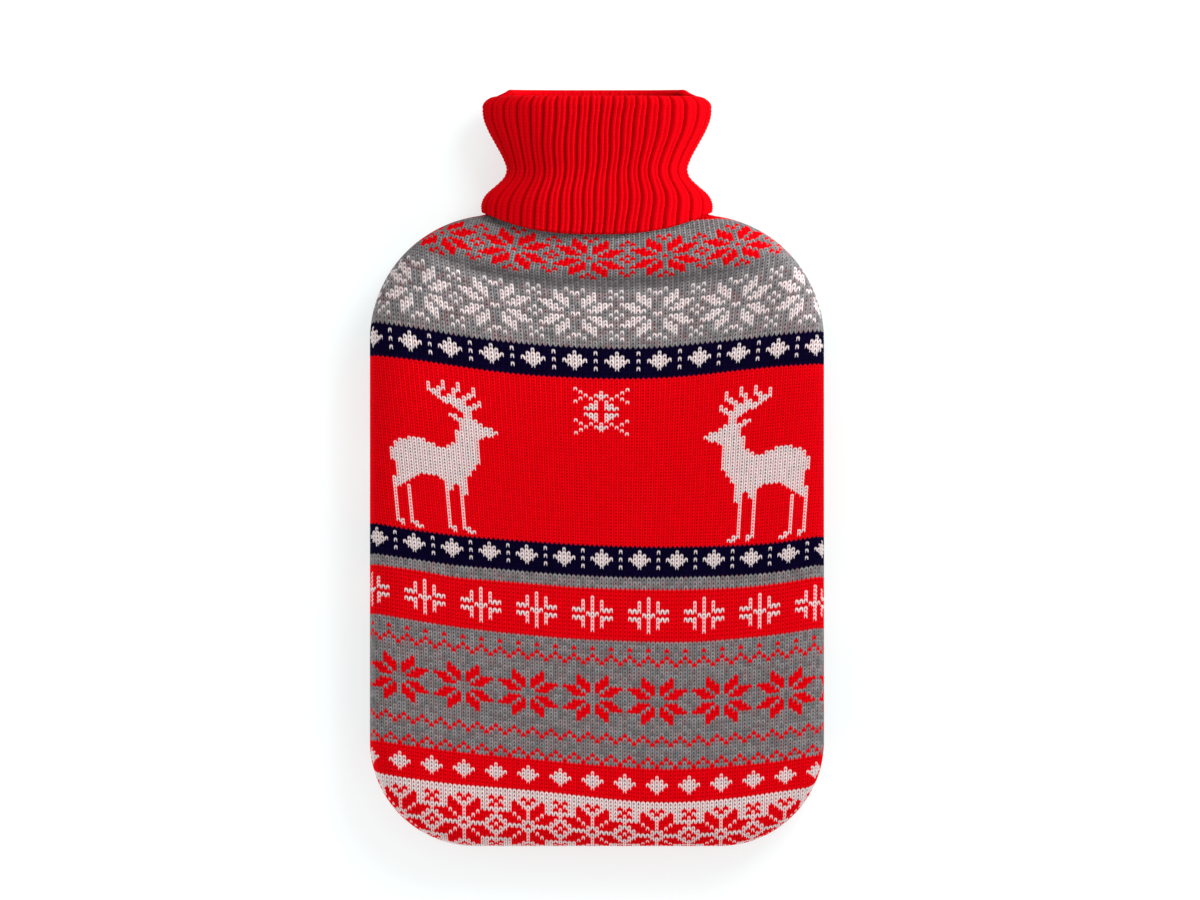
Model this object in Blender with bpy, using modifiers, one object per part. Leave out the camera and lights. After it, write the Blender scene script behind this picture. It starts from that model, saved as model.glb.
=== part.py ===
"""A knitted cover for a hot water bottle, filled out as in use and lying on its back.

It is three pieces of cloth: a front panel and a back panel that meet in a seam round the side,
and a ribbed collar, one tube of cloth turned down over itself round the neck. The cover is
hollow and its mouth is open at +Y. X runs across, Y from the bottom edge to the mouth, and Z up
from the surface that the back lies on. All sizes are in metres.
"""

import math

import bmesh
import bpy
from mathutils import Vector

# The body's outline, seen from above
HALF_WIDTH = 0.105
BOTTOM_Y = -0.175
SHOULDER_Y = 0.1169
CORNER_RADIUS = 0.0486
SHOULDER_RADIUS = 0.0578
NECK_HALF_WIDTH = 0.045
NECK_START_Y = 0.060
NECK_END_Y = 0.1277
NECK_FILLET = 0.010

# The body's thickness
CLOTH = 0.0026
SEAM_HEIGHT = 0.0215
SEAM_GAP = 0.0008
FRONT_RISE = 0.0205
NECK_RISE = 0.0192
CROWN_HEIGHT = 0.0035
CROWN_Y = -0.045
CROWN_REACH = 0.130
NECK_LIFT = 0.0052
NECK_LIFT_FROM_Y = 0.082
NECK_LIFT_TO_Y = 0.104

# How far in from the seam the cloth is still rounding over, and how full the rounding is
FRONT_REACH = 0.026
FRONT_FULLNESS = 3.3
BACK_REACH = 0.030
BACK_FULLNESS = 2.5
NECK_FULLNESS = 2.4
NECK_BLEND_FROM_Y = 0.090
NECK_BLEND_TO_Y = 0.124

# The soft crease across the front, below the star border
CREASE_Y = 0.0850
CREASE_END_RISE = 0.0205
CREASE_DEPTH = 0.0026
CREASE_WIDTH = 0.0055

# Stations of a panel's grid
ACROSS = 26
CORNER_STEPS = 8
SIDE_STEPS = 6
SHOULDER_STEPS = 16
NECK_STEPS = 2

# The collar: its outer face at the crests of the ribs, one row for each place along it
COLLAR_SECTIONS = (
    {"y": 0.1070, "half_width": 0.0580, "rise": 0.0252, "drop": 0.0211},
    {"y": 0.1180, "half_width": 0.0543, "rise": 0.0247, "drop": 0.0211},
    {"y": 0.1260, "half_width": 0.0511, "rise": 0.0242, "drop": 0.0206},
    {"y": 0.1318, "half_width": 0.0451, "rise": 0.0229, "drop": 0.0193},
    {"y": 0.1374, "half_width": 0.0423, "rise": 0.0218, "drop": 0.0184},
    {"y": 0.1457, "half_width": 0.0451, "rise": 0.0222, "drop": 0.0189},
    {"y": 0.1568, "half_width": 0.0516, "rise": 0.0237, "drop": 0.0205},
    {"y": 0.1651, "half_width": 0.0532, "rise": 0.0245, "drop": 0.0211},
    {"y": 0.1750, "half_width": 0.0532, "rise": 0.0245, "drop": 0.0211},
)
COLLAR_FULLNESS = 2.6
COLLAR_CLOTH = 0.0030
LAYER_GAP = 0.0007
COLLAR_ROOT_Y = 0.1280
LOWER_EDGE_SIDE_Y = 0.1180
LOWER_EDGE_MIDDLE_Y = 0.1082
FOLD_FRONT_Y = 0.1717
FOLD_BACK_Y = 0.1750
FOLD_DEPTH = 0.0045
RIBS = 42
RIB_DEPTH = 0.0011
RIB_TWIST = 0.55
# Where a rib's four lines lie in its pitch, and the share of its depth at each
RIB_LINES = (
    {"place": 0.08, "sunk": 0.0},
    {"place": 0.58, "sunk": 0.0},
    {"place": 0.74, "sunk": 1.0},
    {"place": 0.92, "sunk": 1.0},
)
# Where the rows lie between the lower edge and the root, and between the root and the fold
FLARE_ROWS = (0.0, 0.33, 0.67)
NECK_ROWS = (0.0, 0.11, 0.24, 0.46, 0.73)
FOLD_ROWS = 4

# The fold stands higher at the back: this is where the change starts and ends, as the sine of
# the angle round the collar
FOLD_CHANGE_FROM = 0.6
FOLD_CHANGE_TO = -0.6
# How much of the way from one collar section to the next is eased at both ends
SECTION_EASE = 0.5
ANGLES_TRIED = 1440

# Finishes
RED = (0.62, 0.006, 0.012, 1.0)
GREY = (0.24, 0.23, 0.235, 1.0)
KNIT_ROUGHNESS = 0.9

# How closely the outline is searched, and how near two points are one
SEARCH_STEPS = 40
SEARCH_MARGIN = 1.1
ON_THE_OUTLINE = 1e-9
SAME_POINT = 1e-6


def smooth_step(start, end, value):
    share = min(max((value - start) / (end - start), 0.0), 1.0)
    return share * share * (3 - 2 * share)


def blend(start, end, share):
    return start + (end - start) * share


def body_depth(x, y):
    """How far a point is inside the rounded body, without its neck."""
    middle = (BOTTOM_Y + SHOULDER_Y) / 2
    half_length = (SHOULDER_Y - BOTTOM_Y) / 2
    radius = SHOULDER_RADIUS if y > middle else CORNER_RADIUS
    past_x = abs(x) - (HALF_WIDTH - radius)
    past_y = abs(y - middle) - (half_length - radius)
    outside = math.hypot(max(past_x, 0.0), max(past_y, 0.0))
    return radius - outside - min(max(past_x, past_y), 0.0)


def outline_depth(x, y):
    """How far a point is inside the outline, with the neck joined on by a fillet."""
    body = body_depth(x, y)
    neck = min(NECK_HALF_WIDTH - abs(x), y - NECK_START_Y)
    near = max(NECK_FILLET - abs(body - neck), 0.0) / NECK_FILLET
    return max(body, neck) + near * near * NECK_FILLET / 4


def outline_half_width(y):
    """Half of the width of the outline at this place along it."""
    inside, outside = 0.0, SEARCH_MARGIN * HALF_WIDTH
    for _ in range(SEARCH_STEPS):
        middle = (inside + outside) / 2
        if outline_depth(middle, y) >= -ON_THE_OUTLINE:
            inside = middle
        else:
            outside = middle
    return inside


def rounding(x, y, body_reach, body_fullness):
    """0 at the seam, 1 where the cloth has rounded over onto the flat of the body."""
    neck_share = smooth_step(NECK_BLEND_FROM_Y, NECK_BLEND_TO_Y, y)
    reach = blend(body_reach, NECK_HALF_WIDTH, neck_share)
    fullness = blend(body_fullness, NECK_FULLNESS, neck_share)
    left = 1 - min(max(outline_depth(x, y), 0.0) / reach, 1.0)
    return (1 - left**fullness) ** (1 / fullness)


def crown(x, y):
    across = max(1 - (x / HALF_WIDTH) ** 2, 0.0)
    along = max(1 - ((y - CROWN_Y) / CROWN_REACH) ** 2, 0.0)
    return CROWN_HEIGHT * across * along


def crease_y(x):
    return CREASE_Y + CREASE_END_RISE * (x / HALF_WIDTH) ** 2


def crease(x, y):
    away = (y - crease_y(x)) / CREASE_WIDTH
    return CREASE_DEPTH * math.exp(-away * away)


def front_height(x, y):
    rise = blend(FRONT_RISE, NECK_RISE, smooth_step(NECK_BLEND_FROM_Y, NECK_BLEND_TO_Y, y))
    rise += crown(x, y) - crease(x, y)
    return SEAM_HEIGHT + SEAM_GAP / 2 + rounding(x, y, FRONT_REACH, FRONT_FULLNESS) * rise


def back_height(x, y):
    top = SEAM_HEIGHT - SEAM_GAP / 2
    lift = NECK_LIFT * smooth_step(NECK_LIFT_FROM_Y, NECK_LIFT_TO_Y, y)
    return top - rounding(x, y, BACK_REACH, BACK_FULLNESS) * (top - lift)


def panel_stations():
    """Places along Y of a panel's rows: close together round each corner and at the crease."""
    quarter = math.pi / 2
    corner_y = BOTTOM_Y + CORNER_RADIUS
    shoulder_y = SHOULDER_Y - SHOULDER_RADIUS
    angles = [quarter * step / CORNER_STEPS for step in range(CORNER_STEPS)]
    rows = [BOTTOM_Y + CORNER_RADIUS * (1 - math.cos(angle)) for angle in angles]
    side = [step / SIDE_STEPS for step in range(SIDE_STEPS)]
    rows += [blend(corner_y, shoulder_y, share) for share in side]
    rows += [blend(shoulder_y, SHOULDER_Y, step / SHOULDER_STEPS) for step in range(SHOULDER_STEPS)]
    neck = [step / NECK_STEPS for step in range(NECK_STEPS + 1)]
    return rows + [blend(SHOULDER_Y, NECK_END_Y, share) for share in neck]


def knit_material(name, colour):
    made = bpy.data.materials.new(name)
    made.use_nodes = True
    shader = made.node_tree.nodes["Principled BSDF"]
    shader.inputs["Base Color"].default_value = colour
    shader.inputs["Roughness"].default_value = KNIT_ROUGHNESS
    shader.inputs["Metallic"].default_value = 0.0
    made.diffuse_color = colour
    return made


def placed_grid(across, along, place):
    """A grid whose point in column i and row j is moved to place(i, j)."""
    grid = bmesh.new()
    bmesh.ops.create_grid(grid, x_segments=across, y_segments=along, size=1.0)
    for point in grid.verts:
        i = round((point.co.x + 1) / 2 * across)
        j = round((point.co.y + 1) / 2 * along)
        point.co = Vector(place(i, j))
    return grid


def add_piece(name, shape, look, collection):
    mesh = bpy.data.meshes.new(name)
    shape.to_mesh(mesh)
    shape.free()
    mesh.materials.append(look)
    mesh.shade_smooth()
    piece = bpy.data.objects.new(name, mesh)
    collection.objects.link(piece)
    return piece


def add_panel(name, height, faces_up, look, collection):
    """One panel: its outer face follows height(x, y) and its thickness is inside that."""
    rows = panel_stations()
    half_widths = [outline_half_width(y) for y in rows]

    def place(i, j):
        x = half_widths[j] * math.sin(math.pi * (i / ACROSS - 0.5))
        return x, rows[j], height(x, rows[j])

    shape = placed_grid(ACROSS, len(rows) - 1, place)
    if not faces_up:
        bmesh.ops.reverse_faces(shape, faces=shape.faces[:])
    panel = add_piece(name, shape, look, collection)
    wall = panel.modifiers.new("cloth thickness", "SOLIDIFY")
    wall.thickness = CLOTH
    wall.offset = -1.0


def collar_section(y):
    """The collar's half width, rise and drop at y, read off the table of sections."""
    for low, high in zip(COLLAR_SECTIONS, COLLAR_SECTIONS[1:]):
        if y <= high["y"]:
            break
    straight = (y - low["y"]) / (high["y"] - low["y"])
    share = blend(straight, smooth_step(low["y"], high["y"], y), SECTION_EASE)
    return [blend(low[size], high[size], share) for size in ("half_width", "rise", "drop")]


def collar_point(angle, y, sunk):
    """A point of the collar's oval at y, sunk this far inside its outer face."""
    half_width, rise, drop = collar_section(y)
    across, up = math.cos(angle), math.sin(angle)
    power = 2 / COLLAR_FULLNESS
    reach = (rise if up > 0 else drop) - sunk
    x = (half_width - sunk) * math.copysign(abs(across) ** power, across)
    z = SEAM_HEIGHT + reach * math.copysign(abs(up) ** power, up)
    return x, y, z


def even_angles():
    """Angles round the collar's waist, and the share of its girth that each has reached."""
    waist_y = min(COLLAR_SECTIONS, key=lambda section: section["half_width"])["y"]
    angles = [2 * math.pi * step / ANGLES_TRIED for step in range(ANGLES_TRIED + 1)]
    points = [collar_point(angle, waist_y, 0.0) for angle in angles]
    lengths = [0.0]
    for start, end in zip(points, points[1:]):
        lengths.append(lengths[-1] + math.dist(start, end))
    return angles, [length / lengths[-1] for length in lengths]


def angle_at(girth_share, angles, shares):
    """The angle at which this share of the girth is reached."""
    turns, wanted = divmod(girth_share, 1.0)
    low, high = 0, len(shares) - 1
    while high - low > 1:
        middle = (low + high) // 2
        if shares[middle] <= wanted:
            low = middle
        else:
            high = middle
    part = (wanted - shares[low]) / (shares[high] - shares[low])
    return 2 * math.pi * turns + blend(angles[low], angles[high], part)


def collar_rows():
    """The collar's closed section, as one row of points for each place round it.

    It runs from the lower edge up the outer face and over the fold, down and up again round the
    inner layer, whose lower end is the root, and back down inside the outer layer. Each row is
    the stretch that it is in, how far along that is, how deep in the cloth and how ribbed.
    """
    inner_layer = COLLAR_CLOTH + LAYER_GAP
    innermost = inner_layer + COLLAR_CLOTH
    rows = [("flare", share, 0.0, 1.0) for share in FLARE_ROWS]
    rows += [("neck", share, 0.0, 1.0) for share in NECK_ROWS]
    for step in range(FOLD_ROWS + 1):
        angle = math.pi * step / FOLD_ROWS
        depth = innermost * (1 - math.cos(angle)) / 2
        rows.append(("fold", math.sin(angle), depth, max(math.cos(angle), 0.0)))
    rows += [("neck", share, innermost, 0.0) for share in reversed(NECK_ROWS)]
    rows += [("neck", share, inner_layer, 0.0) for share in NECK_ROWS]
    rows.append(("neck", 1.0, COLLAR_CLOTH + LAYER_GAP / 2, 0.0))
    rows += [("neck", share, COLLAR_CLOTH, 0.0) for share in reversed(NECK_ROWS)]
    rows += [("flare", share, COLLAR_CLOTH, 0.0) for share in reversed(FLARE_ROWS)]
    return rows


def collar_y(stretch, share, angle):
    """How far along Y a row of the collar's section lies at this angle round it."""
    up = math.sin(angle)
    fold = blend(FOLD_FRONT_Y, FOLD_BACK_Y, smooth_step(FOLD_CHANGE_FROM, FOLD_CHANGE_TO, up))
    edge = blend(LOWER_EDGE_SIDE_Y, LOWER_EDGE_MIDDLE_Y, up * up)
    ends = {
        "flare": (edge, COLLAR_ROOT_Y),
        "neck": (COLLAR_ROOT_Y, fold - FOLD_DEPTH),
        "fold": (fold - FOLD_DEPTH, fold),
    }
    return blend(*ends[stretch], share)


def add_collar(look, collection):
    """The collar: a grid wrapped round the neck one way and round its own section the other."""
    angles, shares = even_angles()
    rows = collar_rows()
    lines = [(rib, line) for rib in range(RIBS) for line in RIB_LINES]

    def place(i, j):
        rib, line = lines[i % len(lines)]
        stretch, share, depth, ribbed = rows[j % len(rows)]
        girth_share = (rib + line["place"]) / RIBS
        straight = angle_at(girth_share, angles, shares)
        y = collar_y(stretch, share, straight)
        lean = RIB_TWIST * (y - COLLAR_ROOT_Y) / (FOLD_FRONT_Y - LOWER_EDGE_MIDDLE_Y)
        angle = angle_at(girth_share - lean / RIBS, angles, shares)
        return collar_point(angle, y, depth + RIB_DEPTH * line["sunk"] * ribbed)

    shape = placed_grid(len(lines), len(rows), place)
    bmesh.ops.remove_doubles(shape, verts=shape.verts[:], dist=SAME_POINT)
    bmesh.ops.recalc_face_normals(shape, faces=shape.faces[:])
    add_piece("collar", shape, look, collection)


def main():
    for old in list(bpy.data.objects):
        bpy.data.objects.remove(old)
    cover = bpy.data.collections.new("hot_water_bottle_cover")
    bpy.context.scene.collection.children.link(cover)
    front_look = knit_material("patterned knit, front", GREY)
    back_look = knit_material("patterned knit, back", GREY)
    add_panel("front_panel", front_height, True, front_look, cover)
    add_panel("back_panel", back_height, False, back_look, cover)
    add_collar(knit_material("red rib knit", RED), cover)


main()
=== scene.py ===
"""A knitted cover for a hot water bottle, with its stitches, patterned bands and ribbed collar.

Laid out as a Blender add-on and run as a script. X runs across the cover, Y from its bottom edge
to its mouth and Z up from the surface that it lies on. All sizes are in metres.
"""

import math

import bmesh
import bpy
import numpy as np
from bpy.props import FloatProperty, FloatVectorProperty, IntProperty, PointerProperty
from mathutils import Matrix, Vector


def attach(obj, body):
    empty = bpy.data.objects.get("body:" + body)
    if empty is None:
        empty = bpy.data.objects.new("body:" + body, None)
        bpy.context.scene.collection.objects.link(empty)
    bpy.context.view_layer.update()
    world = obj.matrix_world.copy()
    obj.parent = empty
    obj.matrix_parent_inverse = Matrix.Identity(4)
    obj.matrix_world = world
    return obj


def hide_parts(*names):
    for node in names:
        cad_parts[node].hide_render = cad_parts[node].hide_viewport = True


bl_info = {
    "name": "Knitted Bottle Cover",
    "version": (1, 0, 0),
    "blender": (4, 5, 0),
    "location": "View3D > Sidebar > Knitted Cover",
    "description": "Dresses a hot water bottle cover in patterned stocking stitch and rib",
    "category": "Add Mesh",
}

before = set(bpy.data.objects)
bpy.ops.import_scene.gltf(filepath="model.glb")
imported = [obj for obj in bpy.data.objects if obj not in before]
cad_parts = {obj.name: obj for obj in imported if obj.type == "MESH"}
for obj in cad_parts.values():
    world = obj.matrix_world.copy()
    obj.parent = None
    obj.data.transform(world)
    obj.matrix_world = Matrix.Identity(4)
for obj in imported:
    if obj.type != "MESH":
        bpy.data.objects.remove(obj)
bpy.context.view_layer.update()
BODY = "root"

# The body's outline and thickness. They are the solids' own, but the front rises 0.4 mm more, so
# that its stitches stand on the solid.
HALF_WIDTH = 0.105
BOTTOM_Y = -0.175
SHOULDER_Y = 0.1169
CORNER_RADIUS = 0.0486
SHOULDER_RADIUS = 0.0578
NECK_HALF_WIDTH = 0.045
NECK_START_Y = 0.060
NECK_END_Y = 0.1277
NECK_FILLET = 0.010
CLOTH = 0.0026
SEAM_HEIGHT = 0.0215
FRONT_RISE = 0.0209
NECK_RISE = 0.0196
BACK_DROP = 0.0215
CROWN_HEIGHT = 0.0035
CROWN_Y = -0.045
CROWN_REACH = 0.130
NECK_LIFT = 0.0052
NECK_LIFT_FROM_Y = 0.082
NECK_LIFT_TO_Y = 0.104
FRONT_REACH = 0.026
FRONT_FULLNESS = 3.3
BACK_REACH = 0.030
BACK_FULLNESS = 2.5
NECK_FULLNESS = 2.4
NECK_BLEND_FROM_Y = 0.090
NECK_BLEND_TO_Y = 0.124
CREASE_Y = 0.0850

# The crease below the collar is sharper than in the solid: it rises to its left and right ends,
# by these two heights, and loses this share of its depth towards them
CREASE_RISES = (0.033, 0.024)
CREASE_BEND = 2.6
CREASE_DEPTH = 0.0033
CREASE_WIDTH = 0.0037
CREASE_FADE = 0.75
CREASE_FADE_FROM = 0.045
CREASE_FADE_TO = 0.100
# Painted shade: how far the knit darkens towards its gaps' colour in the crease, and below the
# collar, growing between these two heights towards it
CREASE_SHADE = 0.65
UNDER_COLLAR_SHADE = 0.22
UNDER_COLLAR_SHADE_FROM_Y = 0.066
UNDER_COLLAR_SHADE_TO_Y = 0.092

# How far the cloth stretches where it turns down over the edges. The edge's profile is worked out
# in so many steps, and points find their place on it in so many passes.
EDGE_STRETCH = 1.45
PROFILE_STEPS = 400
EDGE_PASSES = 3

# The collar's outer face at the crests of its ribs: y, half width, rise and drop. At y 0.1215 to
# 0.1308 and 0.1377 to 0.1655, y and half width are what a script measured in the photo.
COLLAR_SECTIONS = (
    (0.1070, 0.0532, 0.0252, 0.0211),
    (0.1180, 0.0535, 0.0248, 0.0211),
    (0.1215, 0.0537, 0.0246, 0.0210),
    (0.1262, 0.0516, 0.0241, 0.0205),
    (0.1308, 0.0465, 0.0231, 0.0196),
    (0.1340, 0.0433, 0.0223, 0.0188),
    (0.1377, 0.0420, 0.0218, 0.0184),
    (0.1423, 0.0433, 0.0220, 0.0187),
    (0.1493, 0.0470, 0.0229, 0.0196),
    (0.1562, 0.0507, 0.0237, 0.0204),
    (0.1608, 0.0525, 0.0242, 0.0208),
    (0.1655, 0.0531, 0.0245, 0.0211),
    (0.1680, 0.0528, 0.0245, 0.0211),
    (0.1701, 0.0518, 0.0245, 0.0211),
    (0.1719, 0.0500, 0.0244, 0.0210),
    (0.1728, 0.0480, 0.0243, 0.0209),
    (0.1738, 0.0477, 0.0242, 0.0208),
    (0.1750, 0.0476, 0.0240, 0.0206),
)
# Above the front's fold, the back of the collar is this much narrower to each side
BACK_FOLD_INSET = 0.0034
COLLAR_FULLNESS = 2.6
COLLAR_CLOTH = 0.0030
LAYER_GAP = 0.0007
COLLAR_ROOT_Y = 0.1280
LOWER_EDGE_SIDE_Y = 0.1180
LOWER_EDGE_MIDDLE_Y = 0.1082
FOLD_FRONT_Y = 0.1717
FOLD_BACK_Y = 0.1750
FOLD_DEPTH = 0.0045
# The fold steps up from the front to the back between these two heights of the oval
FOLD_CHANGE_FROM = -0.12
FOLD_CHANGE_TO = -0.28
RIBS = 42
# How many ribs the collar's ribs lean from its lower edge to its fold
RIB_TWIST = 0.85
# Ribs stay nearly as wide at the middle of the drawn-in waist as at the flare
WAIST_SPREAD = 0.2
FLARE_HALF_WIDTH = 0.0537
# Ribs wander a little: by this many ribs, over this length, so many times round
RIB_WANDER = ((0.05, 0.026, 3), (0.035, 0.041, -5))

# Yarns, how much each varies from stitch to stitch, and the colours in the gaps beside them:
# partly the yarn carried at the back, partly painted shade
RED, GREY, WHITE, NAVY = range(4)
YARN_SPREAD = (0.05, 0.28, 0.06, 0.25)
GAP_COLOURS = (
    (0.33, 0.0, 0.0015),
    (0.050, 0.042, 0.046),
    (0.36, 0.17, 0.18),
    (0.0006, 0.0003, 0.004),
)
# A white stitch's gaps take this share of the colour of its row's ground
GROUND_SHARE = 0.65
# Other stitches spread over the edges of the white ones beside them, a little shaded
SPREAD_SHADE = 0.85
# A white stitch is mixed this much with each stitch of another yarn right beside it
WHITE_MIX = 0.10
# The red yarn carried behind pale stitches shows in this share of their gaps, from this row down
CARRIED_RED = (0.13, 0.012, 0.018)
CARRIED_SHARE = 0.32
CARRIED_FROM = 23

# Rows are counted down from the collar. Where some of them lie at their lowest point, as y. For
# rows 39 to 168 this is what a script measured at the edges of the photo's bands.
ROW_PLACES = (
    (-14, 0.1285),
    (0, 0.1107),
    (4, 0.1058),
    (19, 0.0862),
    (22, 0.0823),
    (39, 0.0552),
    (47, 0.0410),
    (100, -0.0365),
    (108, -0.0506),
    (111, -0.0564),
    (124, -0.0804),
    (159, -0.1390),
    (168, -0.1548),
    (190, -0.1913),
)
FIRST_ROW = -14
LAST_ROW = 189
SIDE_COLUMNS = 57
SPLIT_ROW = 78

# How far a row is raised above its lowest point, in millimetres, at these places across. Rows 39
# to 168 are what the same script measured, but for the two ends of row 168.
BOW_PLACES = (-0.1022, -0.0837, -0.0652, -0.0467, -0.0282, -0.0097, 0.0088, 0.0273, 0.0458,
              0.0643, 0.0828, 0.1013)
ROW_BOWS = {
    -14: (24.0, 17.0, 10.9, 6.6, 3.5, 1.2, 0.0, 1.5, 3.8, 7.3, 12.2, 18.5),
    4: (26.0, 18.3, 11.8, 7.1, 3.8, 1.3, 0.0, 1.6, 4.0, 7.8, 13.0, 20.0),
    18: (23.0, 16.5, 10.3, 6.2, 3.2, 1.1, 0.0, 1.3, 3.5, 6.7, 11.4, 17.0),
    39: (12.2, 9.5, 6.2, 3.7, 1.8, 0.6, 0.0, 0.4, 2.1, 4.0, 6.2, 8.0),
    47: (10.7, 8.7, 5.9, 3.3, 1.5, 0.5, 0.0, 0.3, 1.6, 3.7, 5.6, 6.8),
    100: (10.9, 7.8, 5.4, 3.8, 2.4, 1.2, 0.4, 0.0, 0.2, 0.7, 2.0, 4.7),
    108: (10.9, 8.3, 5.6, 4.1, 2.4, 1.1, 0.2, 0.0, 0.3, 1.0, 2.5, 5.6),
    111: (11.8, 9.3, 6.0, 4.4, 2.9, 1.4, 0.6, 0.2, 0.4, 1.2, 3.0, 6.0),
    124: (13.0, 9.9, 7.0, 4.7, 2.9, 1.4, 0.6, 0.0, 0.1, 1.5, 3.4, 6.2),
    159: (13.2, 10.7, 8.2, 6.3, 4.6, 2.8, 1.4, 0.1, 0.4, 1.8, 3.6, 6.3),
    168: (13.8, 11.1, 8.8, 7.3, 5.7, 3.7, 1.6, 0.4, 0.8, 2.5, 5.1, 7.4),
    190: (8.5, 7.0, 5.5, 4.5, 3.5, 2.3, 1.0, 0.3, 0.5, 1.5, 3.1, 4.5),
}

# Where these wales lie across, in millimetres, at some of the rows
WALES = (-57, -42, -28, -14, 0, 14, 28, 42, 57)
WALE_PLACES = {
    -14: (-126, -95, -66.0, -34.5, -2.8, 29.5, 60.0, 90, 122),
    4: (-131, -99, -69.0, -36.1, -2.8, 31.0, 62.5, 94, 127),
    18: (-139, -106, -74.3, -40.2, -4.3, 31.9, 67.2, 100, 133),
    43: (-135, -102, -70.1, -36.6, -3.0, 31.2, 62.9, 94.5, 128),
    104: (-125, -92.9, -62.4, -32.3, -2.15, 28.3, 58.1, 88.3, 120.5),
    140: (-123.3, -91.4, -61.6, -31.8, -2.0, 27.8, 57.6, 87.4, 119.3),
    190: (-122.0, -90.6, -61.2, -31.7, -2.1, 27.5, 57.0, 86.5, 118.0),
}

# Stitch charts: X is the figure's yarn. A chart that is its own mirror is given down to its
# middle row.
STAR = (
    "...X.....X...",
    "...XX...XX...",
    "...XXX.XXX...",
    "XXX.XX.XX.XXX",
    ".XXX.X.X.XXX.",
    "..XXX...XXX..",
    ".............",
)
BORDER_STAR = (
    ".....X.X.....",
    "...X..X..X...",
    "...XX...XX...",
    "...XXX.XXX...",
    "XXX.XX.XX.XXX",
    ".XXX.X.X.XXX.",
    "..XXX...XXX..",
    "......X......",
)
WIDE_STAR = (
    ".....X..X.....",
    "...X..XX..X...",
    "...XX....XX...",
    "...XXX..XXX...",
    "XXX.XX..XX.XXX",
    ".XXX.X..X.XXX.",
    "..XXX....XXX..",
    "......XX......",
)
BUD = ("X.X", ".X.", "X.X", "...", "X.X", "...", ".X.", "X.X")
PLAIN_BUD = ("...", ".X.", "X.X", "...", "X.X", "...", ".X.", "X.X")
CROSS = (
    "....X....",
    "..X.X.X..",
    "..X.X.X..",
    "XXX.X.XXX",
    "...XXX...",
)
DIAMOND = ("..X..", ".XXX.", "XXXXX")
DOTS = ("X", ".", "X")
FLAKE = (
    "X.........X",
    ".X...X...X.",
    "..X.XXX.X..",
    ".X.X.X.X.X.",
    "X...X.X...X",
    "...XX.XX...",
    "..XXX.XXX..",
    "...........",
)
ZIGZAG = ("..X..", ".X.X.", "X...X")
DEER = (
    "............X..X.......",
    ".........X..X..X..X....",
    ".........X.XX.XX..X....",
    ".........XXX..X..XX....",
    "..........XX.XX.XX.....",
    "...........XXXXXX..X...",
    "............XXXXX.XX...",
    "..............XXXXX....",
    "...............XXX.....",
    "................XX.....",
    ".............XX.XX.....",
    "..............XXXXX....",
    "...............XXXXX...",
    "...............XXXXXXX.",
    "...............XXXXXXXX",
    "..............XXXXXXXX.",
    "..............XXXXXX...",
    "..............XXXXX....",
    "..............XXXXX....",
    "....XXXX.....XXXXXX....",
    "..XXXXXXXX..XXXXXXX....",
    ".XXXXXXXXXXXXXXXXXX....",
    ".XXXXXXXXXXXXXXXXXX....",
    "XXXXXXXXXXXXXXXXXXX....",
    "XXXXXXXXXXXXXXXXXXX....",
    "XXXXXXXXXXXXXXXXXX.....",
    "XXXXXXXXXXXXXXXXXX.....",
    ".XXXXXXXXXXXXXXXX......",
    ".XXXXXXXXXXXXXXXX......",
    ".XXXXXXXXXXXXXXX.......",
    ".XXXXX....XXXXXX.......",
    ".XXXX......XXXXX.......",
    "XXXX.......XX.XX.......",
    "XXX........XX.XX.......",
    "XX.X.......X..XX.......",
    "X..X.......X..X........",
    "X..X.......X..X........",
    "X..X.......X..X........",
    "X..X.......X..X........",
    "X..X.......X..X........",
    "X..X.......X..X........",
    "X..X.......X..X........",
    "X..X.......X..X........",
    "X..X.......X..X........",
    "X..X.......X..X........",
    "XX.XX......XX.XX.......",
    ".X..XX......X..XX......",
)


class KnitCoverSettings(bpy.types.PropertyGroup):
    """Sizes and colours of the knitted cover."""

    wale_relief: FloatProperty(
        name="Wale relief",
        description="Depth of the valley between two wales of the panels",
        default=0.0006,
        unit="LENGTH",
    )
    stitch_relief: FloatProperty(
        name="Stitch relief",
        description="Depth of the dip between two stitches of one wale",
        default=0.00032,
        unit="LENGTH",
    )
    slant: FloatProperty(
        name="Slant",
        description="How far the legs of a stitch run up to its middle, in rows",
        default=0.8,
    )
    rib_relief: FloatProperty(
        name="Rib relief",
        description="Depth of the valley between two ribs of the collar",
        default=0.0015,
        unit="LENGTH",
    )
    red: FloatVectorProperty(
        name="Red yarn",
        description="Colour of the red yarn",
        default=(0.84, 0.0004, 0.005),
        subtype="COLOR",
        size=3,
    )
    grey: FloatVectorProperty(
        name="Grey yarn",
        description="Colour of the grey yarn",
        default=(0.24, 0.228, 0.232),
        subtype="COLOR",
        size=3,
    )
    white: FloatVectorProperty(
        name="White yarn",
        description="Colour of the white yarn",
        default=(0.82, 0.72, 0.715),
        subtype="COLOR",
        size=3,
    )
    navy: FloatVectorProperty(
        name="Navy yarn",
        description="Colour of the navy yarn",
        default=(0.003, 0.0012, 0.018),
        subtype="COLOR",
        size=3,
    )
    floor: FloatVectorProperty(
        name="Floor",
        description="Colour of the floor",
        default=(0.365, 0.42, 0.42),
        subtype="COLOR",
        size=3,
    )
    seed: IntProperty(
        name="Seed",
        description="Start of the stitches' small differences",
        default=7,
    )


def smooth_step(start, end, value):
    share = np.clip((value - start) / (end - start), 0.0, 1.0)
    return share * share * (3 - 2 * share)


def blend(start, end, share):
    return start + (end - start) * share


# --- The body's form ---------------------------------------------------------------------------


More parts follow.
